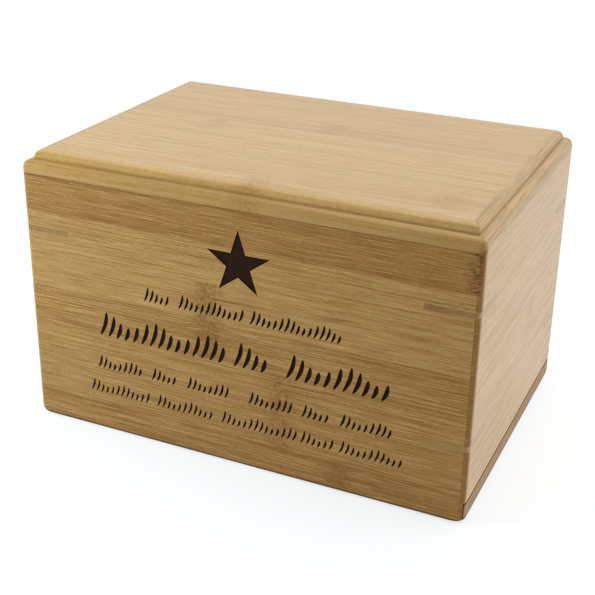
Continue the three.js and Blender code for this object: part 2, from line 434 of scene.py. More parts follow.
def fibres(at, look):
    """Long fibres, short ones and pores."""
    sway = noise(at.along / WAVER_LENGTH, at.across / WAVER_WIDTH, at.stem) - 0.5
    at.waver = sway * (WAVER + at.from_knuckle.bell(SWERVE_REACH) * at.strength * SWERVE)
    across = (at.across + at.waver) / look["fibre"]
    through = (at.through + at.stem) / look["fibre"]
    kinds = []
    for length, finer, shift, detail in (LONG_FIBRE, SHORT_FIBRE, PORE):
        kinds.append(noise(at.along / length, across * finer, through + shift, detail) - 0.5)
    return kinds


def knuckle_cover(at):
    """1 in the middle of a strong knuckle, with a ragged edge."""
    ragged = noise(at.along / RAG_LENGTH, at.across / RAG_WIDTH, at.stem) - 0.5
    return (at.from_knuckle + ragged * KNUCKLE_RAGGED).bell(KNUCKLE_HALF) * at.strength


def knuckle_dark(at, pitch):
    """The mottle of the knuckle, and its vein."""
    depth = at.through / MOTTLE_WIDTH + at.stem
    mottle = noise(at.along / MOTTLE_LENGTH, at.across / MOTTLE_WIDTH, depth, detail=1.0) - 0.5
    vein = (at.in_strip + at.waver * (VEIN_SWAY / pitch) - VEIN_PLACE).bell(VEIN_WIDTH)
    run = at.from_knuckle.ease(*VEIN_START) * (1.0 - at.from_knuckle.ease(*VEIN_END))
    return at.near * (KNUCKLE_DARK + mottle * MOTTLE_DARK) + vein * run * at.strength * VEIN_DARK


print(f"fibres of {LONG_FIBRE[0]:.0f} and {SHORT_FIBRE[0]:.0f} mm, pores of {PORE[0]:.1f} mm")

# %% [markdown]
# ## Bamboo: ends, edges and marks
# Where a board's end is rounded, its cut fibres drink lacquer and turn dark, most where the round
# begins and at the mitre. The ends of a dark strip fray into short dashes. A fine glue line parts
# the strips, and marks paint a highlight or shade along an arris here and there.

# %% Ends, edges and marks
BRIM, MITRE_BRIM, MITRE_PLACE, BRIM_DARK = 0.27, 0.3, 0.9, 0.4
END_DARK, END_FIBRES = 0.4, 1.6
GLUE_LINE, GLUE_DARK = (0.482, 0.496), 0.12
RIM, RIM_DARK, RIM_TONE = (0.2, 0.5), 0.3, 0.8
FRAY_REACH, DARK_STRIP = 9.5, (0.5, 0.6)
DASH_LENGTH, DASH_WIDTH, DASH_STEP = 3.6, 0.36, (0.5, 0.6)


def end_dark(at, look, short_fibres):
    """The darker rounded ends, darkest on the right."""
    brim = (at.from_end + look["end_reach"]).bell(BRIM)
    mitre = (at.from_end + MITRE_PLACE).bell(MITRE_BRIM)
    rounded = at.cut_end * (END_DARK + short_fibres * END_FIBRES) + (brim + mitre) * BRIM_DARK
    return rounded * at.side * look["end_dark"]


def strip_edge_dark(at):
    """A fine glue line between strips, and dark strips that are darker at their edges."""
    from_middle = abs(at.in_strip - 0.5)
    rim = from_middle.ease(*RIM) * (RIM_TONE - at.tone)
    return from_middle.ease(*GLUE_LINE) * GLUE_DARK + rim * RIM_DARK


def frayed(at, look):
    """Dashes where the fibres of a dark strip come out near the corner."""
    dashes = noise(at.along / DASH_LENGTH, at.across / DASH_WIDTH, at.stem, detail=0.0).ease(*DASH_STEP)
    near_end = at.from_end.ease(-FRAY_REACH, -FRAY_REACH / 2) * at.side
    return dashes * near_end * (1.0 - at.tone).ease(*DARK_STRIP) * look["end_dark"]


def mark_cover(places, bells, cover):
    """How far a mark covers a point: a line lies under one bell, a spot under several."""
    for axis, (place, width) in bells.items():
        cover = (places[AXES.index(axis)] - place).bell(width) * cover
    return cover


print("ends fray up to", FRAY_REACH, "mm from a corner")

# %% [markdown]
# ## Bamboo: the moulded edge
# Painted shade darkens the quirk, the fine groove between the two rounds of the top board's edge,
# and the foot of the moulding, and the lower round is darker. Painted highlights lie along the
# crests of both rounds. On the board's cut ends its layers show as streaks, up to the line at each
# corner where a moulding would be mitred. All of it follows the height on the edge, so it needs no
# more than the point's place.

# %% Painted shade and painted highlights of the moulding
LAYER_LENGTH, LAYER_WIDTH, LAYER_DARK, LAYER_STREAK = 30.0, 0.7, 0.4, 2.8
GROOVE_RISE, GROOVE_WIDTH = 0.3, 0.8
BELOW_STEP, FOOT_RISE = (-0.6, 0.2), 3.0
CREST_DROP, CREST_WIDTH, CREST_STEP, WAIST_RISE = 0.6, 0.8, (-0.1, -0.02), 0.12
CREST_STREAK, CREST_END = 2.0, 0.8
# Each strength at the middle of the board, and what is added up to the right-hand end
GROOVE_DARK, BELOW_DARK, FOOT_DARK = (0.28, 0.25), (0.36, 0.17), (0.12, 0.12)
# Strengths of the painted highlights on the upper and lower crests
UPPER_HIGHLIGHT, LOWER_HIGHLIGHT = (0.3, 0.08), (0.13, 0.3)


def rightwards(at, middle, gain):
    """A strength that grows towards the right-hand end."""
    return middle + at.along / at.reach * gain


def layers(at):
    """The layers of a board seen on its rounded end, as streaks that follow the edge."""
    height, depth = at.through / LAYER_WIDTH, at.along / LAYER_WIDTH
    return noise(at.across / LAYER_LENGTH, height, depth, detail=1.0) - 0.5


def moulding_shade_and_layers(at, moulding):
    """Painted shade in the moulding's groove and along its foot, a darker round below, and end layers."""
    above_quirk = at.z - moulding.quirk
    groove = (above_quirk - GROOVE_RISE).bell(GROOVE_WIDTH)
    below = 1.0 - above_quirk.ease(*BELOW_STEP)
    foot = 1.0 - (at.z - moulding.foot).ease(0.0, FOOT_RISE)
    parts = ((groove, GROOVE_DARK), (below, BELOW_DARK), (foot, FOOT_DARK))
    sides = sum(part * rightwards(at, *dark) for part, dark in parts)
    ends = at.cut_end * (LAYER_DARK + layers(at) * LAYER_STREAK)
    return sides * (1.0 - at.cut_end) + ends


def crest(at, top):
    """1 along the upper part of a round that ends at this height, where a highlight is painted."""
    rise = at.z - top
    return (rise + CREST_DROP).bell(CREST_WIDTH) * (1.0 - rise.ease(*CREST_STEP))


def crests(at, moulding, short_fibres):
    """Painted highlights on the crests of both rounds, stronger towards the right."""
    upper = crest(at, moulding.top) * rightwards(at, *UPPER_HIGHLIGHT)
    lower = crest(at, moulding.waist + WAIST_RISE) * rightwards(at, *LOWER_HIGHLIGHT)
    return (upper + lower) * (1.0 + short_fibres * CREST_STREAK) * (1.0 - at.cut_end * CREST_END)


moulding = SimpleNamespace(
    top=height / MM, quirk=(waist + QUIRK / 2) / MM, waist=waist / MM, foot=seam / MM, side=half_y / MM,
)
print(f"quirk at {moulding.quirk:.1f} mm, between {moulding.foot:.1f} and {moulding.top:.1f} mm")

# %% [markdown]
# ## Bamboo: shade and colour
# All shares of dark add up to one shade, which blends the look's light colour into its deep one.
# Blushes, knuckles, the moulding's painted shade and painted highlights, frayed ends and painted
# shade along the foot are laid over that, one after the other.

# %% The shade of a point, and its colour
END_STEP, MITRE_STEP = (-1.2, -0.85), 0.6
STREAK_MOST, STREAK_FALL, KNUCKLE_HUSH = 1.6, 0.85, 0.6
BROAD_LENGTH, BROAD_WIDTH, TONE_REACH = 90.0, 5.0, 0.6
FLUSH_LENGTH, FLUSH_WIDTH, FLUSH_SHIFT, FLUSH_STEP = 16.0, 4.5, 3.0, (0.45, 0.75)
BLUSH_COVER, KNUCKLE_COVER = 0.5, 0.35
# The first colour is a painted highlight on the crests; the second is painted shade in the groove and foot,
# and the colour of the end layers
CREST_HIGHLIGHT, SHADE_AND_LAYERS = (0.95, 0.64, 0.27), (0.31, 0.175, 0.06)
# The last colour here is painted shade along the bottom edge of the walls and the end strip
FRAYED, FOOT_SHADE = (0.06, 0.026, 0.005), (0.045, 0.028, 0.014)


def find_ends(at, look, moulding):
    """How far a point lies to the right, and how far out on a rounded end."""
    at.side = look["right_end"] + at.along * ((1.0 - look["right_end"]) / at.reach)
    at.cut_end = (at.from_end / look["end_reach"]).ease(*END_STEP)
    if moulding:
        past_mitre = at.from_end - abs(at.across) + moulding.side
        at.cut_end = at.cut_end * past_mitre.ease(-MITRE_STEP, MITRE_STEP)


def shade_of(at, look, pitch, kinds):
    """The sum of all that makes the wood light or dark."""
    streaks = sum(kind * look[name] for kind, name in zip(kinds, ("long", "short", "pores")))
    hush = (1.0 - at.near * KNUCKLE_HUSH) * (1.0 - at.cut_end * look["end_hush"])
    streaks = streaks * (STREAK_MOST - at.tone * STREAK_FALL) * hush
    broad = noise(at.along / BROAD_LENGTH, at.across / BROAD_WIDTH, at.stem) - 0.5
    dark = 1.0 - at.tone * TONE_REACH + broad * look["broad"] + at.along * (look["drift"] / at.reach)
    return dark + streaks + knuckle_dark(at, pitch) + end_dark(at, look, kinds[1]) + strip_edge_dark(at)


def colour_of(at, look, dark, short_fibres, moulding):
    """The look's colours by the shade, and what is laid over them."""
    beyond = (1.0 - TONE_REACH) / TONE_REACH
    light = [pale + (pale - deep) * beyond for pale, deep in zip(look["pale"], look["deep"])]
    flush = noise(at.along / FLUSH_LENGTH, at.across / FLUSH_WIDTH, at.stem + FLUSH_SHIFT, detail=1.0)
    blush = at.blush * BLUSH_COVER + flush.ease(*FLUSH_STEP) * look["flush"]
    colour = blend(dark, light, look["deep"])
    colour = blend(blush, colour, look["blush"])
    colour = blend(at.near * KNUCKLE_COVER, colour, look["knuckle"])
    if moulding:
        # Painted shade on the moulding with the layers on its ends, then painted highlights on its crests
        colour = blend(moulding_shade_and_layers(at, moulding), colour, SHADE_AND_LAYERS)
        colour = blend(crests(at, moulding, short_fibres), colour, CREST_HIGHLIGHT)
    colour = blend(frayed(at, look), colour, FRAYED)
    # Painted shade along the foot, darkest at the bottom edge
    if look["foot_shade"]:
        low, high, strength = look["foot_shade"]
        colour = blend((1.0 - at.z.ease(low, high)) * strength, colour, FOOT_SHADE)
    return colour


print(f"a strip of full tone lies {1 - TONE_REACH:.1f} of the way from light to deep")

# %% [markdown]
# ## Bamboo: the finish
# Marks come last, over the colour, and where one lies the clear coat thins out; some are painted
# shade or a painted highlight. The fibres also raise the surface a little. The coat gives the top
# and the ends their pale sheen. On the front the lacquer has sunk in, and on the moulding it has
# held above the quirk and on the cut ends.

# %% The bamboo finish
COAT_ROUGHNESS, FIBRE_ROUGH = 0.35, 0.15
LACQUER_STEP = (0.6, 3.0)
BUMP = {"Strength": 0.3, "Distance": 0.06 * MM}


def bamboo(name, along, across, reach, edge, pitch, strips, look, moulding=None, marks=()):
    """Pressed bamboo with its fibres along one axis and its strips side by side across another."""
    material, places = begin_finish(name)
    at = on_board(places, along, across, reach, edge, pitch, strips)
    at.near = knuckle_cover(at)
    find_ends(at, look, moulding)
    kinds = fibres(at, look)
    long_fibres, short_fibres = kinds[:2]
    colour = colour_of(at, look, shade_of(at, look, pitch, kinds), short_fibres, moulding)
    coat = look["coat"]
    if moulding:
        lacquered = (at.z - moulding.quirk).ease(*LACQUER_STEP)
        coat = coat * at.z.math("MAXIMUM", lacquered, at.cut_end)
    for bells, strength, mark_colour in marks:
        cover = mark_cover(places, bells, strength)
        colour = blend(cover, colour, mark_colour)
        coat = coat * (1.0 - cover) * (1.0 - cover)
    rough = look["rough"] + short_fibres * FIBRE_ROUGH
    normal = relief(long_fibres + short_fibres, BUMP)
    sheen = {"Specular IOR Level": look["gloss"], "Coat Weight": coat, "Coat Roughness": COAT_ROUGHNESS}
    end_finish(at.z, {"Base Color": colour, "Roughness": rough, "Normal": normal, **sheen})
    return material


print("the bamboo finish is ready, with a coat of roughness", COAT_ROUGHNESS)

# %% [markdown]
# ## Looks
# The front and the back are caramel boards with strong tones, the top is a straw-coloured one, and
# the ends are of a pinkish one. A look holds what all strips of a board share: its colours, how
# strong its fibres, pores and ends are, its sheen, and the heights where painted shade at its foot fades.

# %% The looks of the three boards
CARAMEL = {
    "pale": (0.435, 0.262, 0.087), "deep": (0.235, 0.112, 0.019),
    "blush": (0.38, 0.18, 0.06), "knuckle": (0.2, 0.095, 0.03),
    "fibre": 0.5, "long": 1.1, "short": 1.55, "pores": 0.5, "broad": 0.14, "flush": 0.4, "drift": 0.08,
    "rough": 0.46, "gloss": 0.12, "coat": 0.0,
    "end_reach": 2.3, "end_dark": 0.8, "end_hush": 0.5, "right_end": 0.35, "foot_shade": (1.7, 2.7, 0.9),
}
STRAW = {
    "pale": (0.54, 0.335, 0.11), "deep": (0.41, 0.225, 0.026),
    "blush": (0.47, 0.265, 0.095), "knuckle": (0.38, 0.205, 0.055),
    "fibre": 1.15, "long": 1.6, "short": 0.7, "pores": 0.6, "broad": 0.4, "flush": 0.25, "drift": -0.08,
    "rough": 0.42, "gloss": 0.15, "coat": 0.45,
    "end_reach": 9.3, "end_dark": 0.0, "end_hush": 1.0, "right_end": 0.7, "foot_shade": None,
}
PINKISH = {
    **STRAW, "pale": (0.495, 0.305, 0.102), "deep": (0.37, 0.185, 0.016), "blush": (0.49, 0.27, 0.115),
    "fibre": 0.95, "long": 2.9, "short": 1.9, "pores": 0.6, "broad": 0.6, "drift": -0.04, "coat": 0.7,
    "end_reach": 3.4, "end_dark": 0.15, "end_hush": 0.5, "foot_shade": (1.7, 2.7, 0.9),
}
print("a look has", ", ".join(CARAMEL))

# %% [markdown]
# ## The box's boards
# Each board gets its look, its own strips, lowest or foremost first, and its marks: a brown seam,
# a painted highlight on the edge above the sliding strip, and painted shade at the front right
# corner. The walls share one pitch, because they were sawn from boards of one make.

# %% The boards of the walls and the top
# The pale edge colour is a painted highlight, the corner colour is painted shade, and the seam colour is a
# dark seam on the front and painted shade in the gap over the end strip
EDGE_HIGHLIGHT, CORNER_SHADE, SEAM_BROWN_AND_SHADE = (0.8, 0.56, 0.27), (0.2, 0.11, 0.04), (0.12, 0.05, 0.015)
WALL_BOARD = {"edge": -4.7, "pitch": 21.7}
TOP_BOARD = {"edge": -91.4, "pitch": 20.7}
reach_x, reach_y = half_x / MM, half_y / MM

# A mark is its bells by axis, each a place and a width in mm, then its strength and its colour
seam_mark = ({"Z": (seam / MM - 0.6, 0.6), "X": (-reach_x, 70.0)}, 0.5, SEAM_BROWN_AND_SHADE)
# A painted highlight along the eased foot of the right wall
foot_highlight_mark = ({"Z": (right_foot / MM + 1.1, 0.7)}, 0.9, EDGE_HIGHLIGHT)
# Painted shade along the right wall's front arris
arris_shade_mark = ({"Y": (1.0 - reach_y, 1.4)}, 0.9, CORNER_SHADE)
# Painted shade in the top board's front right corner, above the seam
spot = {"X": (reach_x - 1.0, 2.6), "Y": (1.0 - reach_y, 2.6), "Z": (seam / MM + 0.4, 2.4)}
corner_shade_mark = (spot, 0.9, CORNER_SHADE)

# A strip is its tone, its blush, and the place and the strength of its knuckle
front_finish = bamboo(
    "front_bamboo", "X", "Z", reach_x, **WALL_BOARD, look=CARAMEL, marks=[seam_mark],
    strips=[
        (0.49, 0.35, (0.732, 0.9)), (0.68, 0.2, (0.6, 0.6)), (0.73, 0.15, (0.602, 0.6)),
        (0.58, 0.2, (0.437, 0.8)), (0.86, 0.05, (0.437, 0.9)), (0.86, 0.0, NO_KNUCKLE),
        (0.37, 0.3, NO_KNUCKLE),
    ],
)
back_finish = bamboo(
    "back_bamboo", "X", "Z", reach_x, **WALL_BOARD, look=CARAMEL,
    strips=[
        (0.7, 0.2, NO_KNUCKLE), (0.8, 0.1, (0.3, 0.5)), (0.62, 0.2, NO_KNUCKLE),
        (0.84, 0.05, (0.66, 0.6)), (0.72, 0.15, NO_KNUCKLE), (0.58, 0.25, (0.2, 0.5)),
        (0.76, 0.1, NO_KNUCKLE),
    ],
)
right_finish = bamboo(
    "right_bamboo", "Y", "Z", reach_y, **WALL_BOARD, look=PINKISH, marks=[foot_highlight_mark, arris_shade_mark],
    strips=[
        (0.75, 0.2, NO_KNUCKLE), (0.8, 0.3, NO_KNUCKLE), (0.9, 0.2, NO_KNUCKLE),
        (0.84, 0.35, (0.6, 0.7)), (0.9, 0.4, NO_KNUCKLE), (0.95, 0.3, NO_KNUCKLE),
        (0.9, 0.4, NO_KNUCKLE),
    ],
)
left_finish = bamboo(
    "left_bamboo", "Y", "Z", reach_y, **WALL_BOARD, look=PINKISH,
    strips=[
        (0.8, 0.3, NO_KNUCKLE), (0.88, 0.2, (0.35, 0.4)), (0.76, 0.35, NO_KNUCKLE),
        (0.9, 0.2, NO_KNUCKLE), (0.84, 0.4, (0.72, 0.4)), (0.92, 0.2, NO_KNUCKLE),
        (0.86, 0.3, NO_KNUCKLE),
    ],
)
top_finish = bamboo(
    "top_bamboo", "X", "Y", reach_x, **TOP_BOARD, look=STRAW, moulding=moulding, marks=[corner_shade_mark],
    strips=[
        (0.92, 0.05, (0.52, 0.9)), (0.93, 0.1, (0.894, 0.7)), (0.95, 0.05, NO_KNUCKLE),
        (0.97, 0.0, NO_KNUCKLE), (1.0, 0.0, (0.265, 0.8)), (0.8, 0.6, (0.521, 0.8)),
        (0.9, 0.35, NO_KNUCKLE), (0.86, 0.4, NO_KNUCKLE), (0.9, 0.4, NO_KNUCKLE),
    ],
)
finishes = (front_finish, back_finish, right_finish, left_finish, top_finish)
print("boards:", ", ".join(finish.name for finish in finishes))

# %% [markdown]
# ## Rings and runs
# Nearly every piece of the box is a stack of rounded rectangles: the top board's moulding is one
# section run round the four sides, the walls are one frame cut at the mitres. So one function lays
# a ring and one skins a stack of rings into a closed mesh. Cutting a finished block with a modifier
# would work too, but rings give clean rows of faces along the rounds. Each piece then rides on its
# body in the solid's place.

# %% Rings, skins and smooth shading
SHARP_ANGLE = radians(32.0)
BOX_MIDDLE, BOX_HALF = Vector((0.0, 0.0, 0.0)), Vector((half_x, half_y, height / 2))


def ring(inset, z, radius, half=BOX_HALF, centre=BOX_MIDDLE):
    """An outline seen from above, moved in by the inset, with rounded corners."""
    points = []
    for turn, (sx, sy) in enumerate(CORNER_SIGNS):
        x, y = half.x - inset - radius, half.y - inset - radius
        middle = centre + Vector((sx * x, sy * y, z))
        for step in range(ARC_STEPS + 1):
            angle = (turn + step / ARC_STEPS) * pi / 2
            points.append(middle + Vector((radius * cos(angle), radius * sin(angle), 0.0)))
    return points


def skin(form, rings):
    """Joins a stack of closed rings into one closed body."""
    rows = [[form.verts.new(point) for point in points] for points in rings]
    for lower, upper in zip(rows, rows[1:]):
        for i in range(len(lower)):
            j = (i + 1) % len(lower)
            form.faces.new((lower[i], lower[j], upper[j], upper[i]))
    form.faces.new(rows[0])
    form.faces.new(rows[-1])


def form_piece(name, build, finish):
    """A piece whose mesh a function fills, with its faces turned outwards."""
    form = bmesh.new()
    build(form)
    bmesh.ops.recalc_face_normals(form, faces=form.faces)
    mesh = bpy.data.meshes.new(name)
    form.to_mesh(mesh)
    form.free()
    return new_piece(name, mesh, finish)


def settle(piece, body, slot, node):
    """Smooths the rounds, with crisp arrises and flat flats, and rides the piece in its solid's place."""
    piece.data.shade_smooth()
    piece.data.set_sharp_from_angle(angle=SHARP_ANGLE)
    flats = piece.modifiers.new("flats", "WEIGHTED_NORMAL")
    flats.keep_sharp = True
    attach(piece, body)
    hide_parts(node)
    print(f"{piece.name}: {len(piece.data.polygons)} faces, for {node}")


print("a ring has", len(ring(0.0, 0.0, CORNER_RADIUS)), "points")

# %% [markdown]
# ## The top board
# The top is one board glued over the walls. Its edge has two rounds with a narrow ledge and a quirk
# between them, cut by a router that follows the edge, so the section is the same on all sides. The
# section is a short list of insets and heights with two arcs in it, and each of its points becomes
# a ring. The corners are sanded, so the inner rings keep a small radius too.

# %% The moulded top board
SANDED_RADIUS = 1.6 * MM
SEAM_EASE = 0.12 * MM


def quarter():
    """Angles from nought to a quarter turn."""
    return [i / ARC_STEPS * pi / 2 for i in range(ARC_STEPS + 1)]


def rounded_over(inset, top, radius):
    """Insets and heights of a round that starts at this inset and ends at this height."""
    return [(inset + radius * (1 - cos(angle)), top - radius * (1 - sin(angle))) for angle in quarter()]


def top_section():
    """Insets and heights of the top board's edge, from the seam up."""
    ledge = LOWER_ROUND + LEDGE
    section = [(SEAM_EASE, seam), (0.0, seam + SEAM_EASE)]
    section += rounded_over(0.0, waist, LOWER_ROUND)
    section += [(ledge, waist)]
    section += rounded_over(ledge, height, UPPER_ROUND)
    return section


def top_board(form):
    skin(form, [ring(inset, z, max(CORNER_RADIUS - inset, SANDED_RADIUS)) for inset, z in top_section()])


settle(form_piece("top_board", top_board, top_finish), "box", "top_bamboo", "top_panel")

# %% [markdown]
# ## The four walls
# The walls were glued up as a frame and rounded afterwards, so the outside is again a stack of
# rings: an eased bottom edge, rubbed rounder at the corners, then straight up to the seam. A wall
# takes the run of each ring from one mitre to the next, and a flat inside face closes it. The right
# wall starts higher, above the sliding base, with its own small ease.

# %% Mitred walls from runs of rings
FOOT_EASE = 2.5 * MM
FOOT_RADIUS = 6.7 * MM
FOOT_HEIGHT = 5.0 * MM
WALL_TOP = seam - 2 * HAIRLINE
SIDES = {"back": 0, "left": 1, "front": 2, "right": 3}


def wall_rings(low=0.0, ease=FOOT_EASE, top=WALL_TOP):
    """Rings of the frame's outside: an eased foot with rounder corners, then up to an eased top."""
    rings = []
    for angle in reversed(quarter()):
        z = low + ease * (1 - sin(angle))
        rubbed = max(0.0, 1 - z / FOOT_HEIGHT) ** 2
        radius = CORNER_RADIUS + (FOOT_RADIUS - CORNER_RADIUS) * rubbed
        rings.append(ring(ease * (1 - cos(angle)), z, radius))
    if ease < FOOT_HEIGHT - low:
        rings.append(ring(0.0, FOOT_HEIGHT, CORNER_RADIUS))
    rings.append(ring(0.0, top - SEAM_EASE, CORNER_RADIUS))
    rings.append(ring(SEAM_EASE, top, CORNER_RADIUS))
    return rings


def wall_form(form, side, rings, end_gap):
    """One wall: its run of each ring, closed by the mitres and the inside face."""
    first = SIDES[side]
    last = (first + 1) % len(SIDES)
    count, middle = ARC_STEPS + 1, ARC_STEPS // 2
    ends = (CORNER_SIGNS[first], CORNER_SIGNS[last])
    start, stop = [Vector((sx * inner_x, sy * inner_y, 0.0)) for sx, sy in ends]
    back_off = (stop - start).normalized() * end_gap
    corners = (start + back_off, stop - back_off)
    rows = []
    for points in rings:
        before = points[first * count + middle:(first + 1) * count]
        after = points[last * count:last * count + middle + 1]
        run = before + after
        run[0], run[-1] = run[0] + back_off, run[-1] - back_off
        rows.append([form.verts.new(point) for point in run])
    lows = [form.verts.new((corner.x, corner.y, rings[0][0].z)) for corner in corners]
    highs = [form.verts.new((corner.x, corner.y, rings[-1][0].z)) for corner in corners]
    for lower, upper in zip(rows, rows[1:]):
        for i in range(len(lower) - 1):
            form.faces.new((lower[i], lower[i + 1], upper[i + 1], upper[i]))
    form.faces.new((*rows[0], lows[1], lows[0]))
    form.faces.new((*rows[-1], highs[1], highs[0]))
    form.faces.new((*[row[0] for row in rows], highs[0], lows[0]))
    form.faces.new((*[row[-1] for row in rows], highs[1], lows[1]))
    form.faces.new((lows[0], lows[1], highs[1], highs[0]))


print("a wall is a run of", len(wall_rings()), "rings")

# %% [markdown]
# ## Saw cuts and groove
# After the glue-up, slots for the corner keys are sawn across the mitres, and the walls have a
# groove for the sliding board. Both are one cutter mesh that a Boolean modifier takes away. The cut
# faces take the cutter's own finish, so a cut can look different from the wood around it.

# %% Cutters
CUT_OVER, GROOVE_ROOM = 2.0 * MM, 0.4 * MM
key_low, key_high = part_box("corner_key_back_right_upper")
KEY_LEG = half_x - key_low.x
KEY_THICKNESS = key_high.z - key_low.z
KEY_LEVELS = {}
for level in ("lower", "upper"):
    KEY_LEVELS[level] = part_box(f"corner_key_back_right_{level}")[0].z + KEY_THICKNESS / 2


def cut(piece, cutter):
    """Takes the cutter's form out of the piece for good."""
    knife = piece.modifiers.new("cut", "BOOLEAN")
    knife.operation = "DIFFERENCE"
    knife.solver = "EXACT"
    knife.material_mode = "TRANSFER"
    knife.object = cutter
    result = bpy.data.meshes.new_from_object(piece.evaluated_get(bpy.context.evaluated_depsgraph_get()))
    piece.modifiers.clear()
    piece.data = result
    bpy.data.objects.remove(cutter)


def upright(plan, low, high):
    """Two rings of one plan, at the foot and at the head of an upright block."""
    return [[Vector((x, y, z)) for x, y in plan] for z in (low, high)]


def block_rings(low, high):
    """The rings of a block between two opposite corners."""
    plan = ((low.x, low.y), (high.x, low.y), (high.x, high.y), (low.x, high.y))
    return upright(plan, low.z, high.z)


def joinery_cutter(form):
    """The key slots at all corners and both levels, and the groove for the board."""
    x, y = half_x + CUT_OVER, half_y + CUT_OVER
    leg = KEY_LEG + 2 * CUT_OVER + HAIRLINE
    half = KEY_THICKNESS / 2 + HAIRLINE
    for sx, sy in CORNER_SIGNS:
        plan = ((sx * x, sy * y), (sx * (x - leg), sy * y), (sx * x, sy * (y - leg)))
        for level in KEY_LEVELS.values():
            skin(form, upright(plan, level - half, level + half))
    room = Vector((GROOVE_ROOM, GROOVE_ROOM, GROOVE_ROOM))
    skin(form, block_rings(board_low - room, board_high + room))


print(f"slots for keys {KEY_THICKNESS / MM:.1f} mm thick with legs of {KEY_LEG / MM:.1f} mm")

# %% [markdown]
# ## The engraving
# The front carries a plain star and, under it, four rows of short leaning strokes. They were burnt
# in by a laser, shallow and dark. A stroke is a blade: a leaning line that is pointed at both ends
# and a little bowed. A row fills each of its groups from the left at an even spacing, and the heads
# of its strokes fall and rise in an even wave. All of it is one more cutter, with a burnt finish.

# %% Star and strokes
ENGRAVING_DEPTH = 0.6 * MM
STAR = {"x": 2.0, "z": 117.6, "radius": 18.5, "points": 5}
STAR_WAIST = sin(pi / 10) / sin(3 * pi / 10)
STROKE_LEAN, STROKE_BOW, STROKE_STEPS = 0.3, 0.08, 12
STROKE_WAVE, STROKE_DIP = 6, 0.45
STROKE_ROWS = [
    {"foot": 85.8, "height": 8.7, "width": 1.5, "spacing": 3.2,
     "groups": [(-54.6, -37.8), (-33.7, 3), (7.9, 57)]},
    {"foot": 59.5, "height": 15, "width": 2.5, "spacing": 5.2,
     "groups": [(-83.8, -4.6), (-2, 19.5), (27.9, 85)]},
    {"foot": 39.2, "height": 8.2, "width": 1.4, "spacing": 3.2,
     "groups": [(-85.8, -57), (-51.7, -36.3), (-29.7, -5.5), (7, 32), (37.4, 52.8), (58.7, 85.7)]},
    {"foot": 23.7, "height": 8, "width": 1.3, "spacing": 3.2,
     "groups": [(-91.3, -52.2), (-48.8, -13), (-9.2, 33.7), (37, 55.3), (58.7, 93.7)]},
]


def star_outline(x, z, radius, points):
    """A star with straight arms, from its topmost point on."""
    outline = []
    for i in range(2 * points):
        angle = pi / 2 + i * pi / points
        reach = radius * STAR_WAIST if i % 2 else radius
        outline.append((x + reach * cos(angle), z + reach * sin(angle)))
    return outline


def stroke_outline(x, foot, height, width):
    """A leaning blade, up its right side and down its left."""
    left, right = [], []
    for i in range(STROKE_STEPS + 1):
        t = i / STROKE_STEPS
        middle = x + height * (STROKE_LEAN * t + STROKE_BOW * sin(pi * t))
        half = width / 2 * sqrt(max(0.0, sin(pi * t)))
        right.append((middle + half, foot + height * t))
        if 0 < i < STROKE_STEPS:
            left.append((middle - half, foot + height * t))
    return right + left[::-1]


def row_outlines(foot, height, width, spacing, groups):
    """The strokes of one row, group by group."""
    for start, end in groups:
        for i in range(round((end - start - STROKE_LEAN * height) / spacing) + 1):
            dip = STROKE_DIP / 2 * (1 - cos(2 * pi * i / STROKE_WAVE))
            yield stroke_outline(start + width / 2 + i * spacing, foot, height * (1 - dip), width)


outlines = [star_outline(**STAR)]
for row in STROKE_ROWS:
    outlines += row_outlines(**row)


def engraving_cutter(form):
    """Every outline, from in front of the wall to the depth of the engraving."""
    depths = (-half_y - CUT_OVER, -half_y + ENGRAVING_DEPTH)
    for outline in outlines:
        skin(form, [[Vector((x * MM, y, z * MM)) for x, z in outline] for y in depths])


print("engraving:", len(outlines), "forms")

# %% [markdown]
# ## The burnt finish
# A laser chars the wood that it doesn't take away. What is left is nearly black and dull, with the
# fibres still showing as fine streaks, so stretched noise serves for colour and relief alike.

# %% Burnt wood
SOOT_DEEP, SOOT_PALE = (0.012, 0.004, 0.002), (0.035, 0.013, 0.008)
SOOT_LENGTH, SOOT_DEPTH, SOOT_WIDTH = 6.0, 0.5, 0.35
SOOT_ROUGH, SOOT_UNEVEN, SOOT_GLOSS = 0.7, 0.2, 0.1
SOOT_BUMP = {"Strength": 0.5, "Distance": 0.1 * MM}


def burnt():
    """Charred wood, streaked along its fibres."""
    material, (x, y, z) = begin_finish("burnt_bamboo")
    streak = noise(x / SOOT_LENGTH, y / SOOT_DEPTH, z / SOOT_WIDTH, detail=3.0)
    soot = blend(streak, SOOT_DEEP, SOOT_PALE)
    rough = SOOT_ROUGH + streak * SOOT_UNEVEN
    sheen = {"Specular IOR Level": SOOT_GLOSS, "Normal": relief(streak, SOOT_BUMP)}
    end_finish(x, {"Base Color": soot, "Roughness": rough, **sheen})
    return material


burnt_finish = burnt()
print("burnt finish:", burnt_finish.name)

# %% [markdown]
# ## The walls, cut and dressed
# Now each wall is formed from its rings and sawn and grooved with the same cutter, as the frame on
# the bench was, and the front is engraved last. A hairline at each mitre lets the joint show.

# %% Walls with their cuts
RIGHT_EASE = 0.8 * MM
WALLS = {
    "front": (front_finish, "front_bamboo"),
    "back": (back_finish, "front_bamboo"),
    "left": (left_finish, "end_bamboo"),
    "right": (right_finish, "end_bamboo"),
}


def joined_wall(side, finish):
    """A wall with its key slots and its groove."""
    rings = wall_rings(right_foot, RIGHT_EASE) if side == "right" else wall_rings()
    piece = form_piece(f"{side}_wall", lambda form: wall_form(form, side, rings, HAIRLINE), finish)
    cut(piece, form_piece("joinery_cutter", joinery_cutter, finish))
    return piece


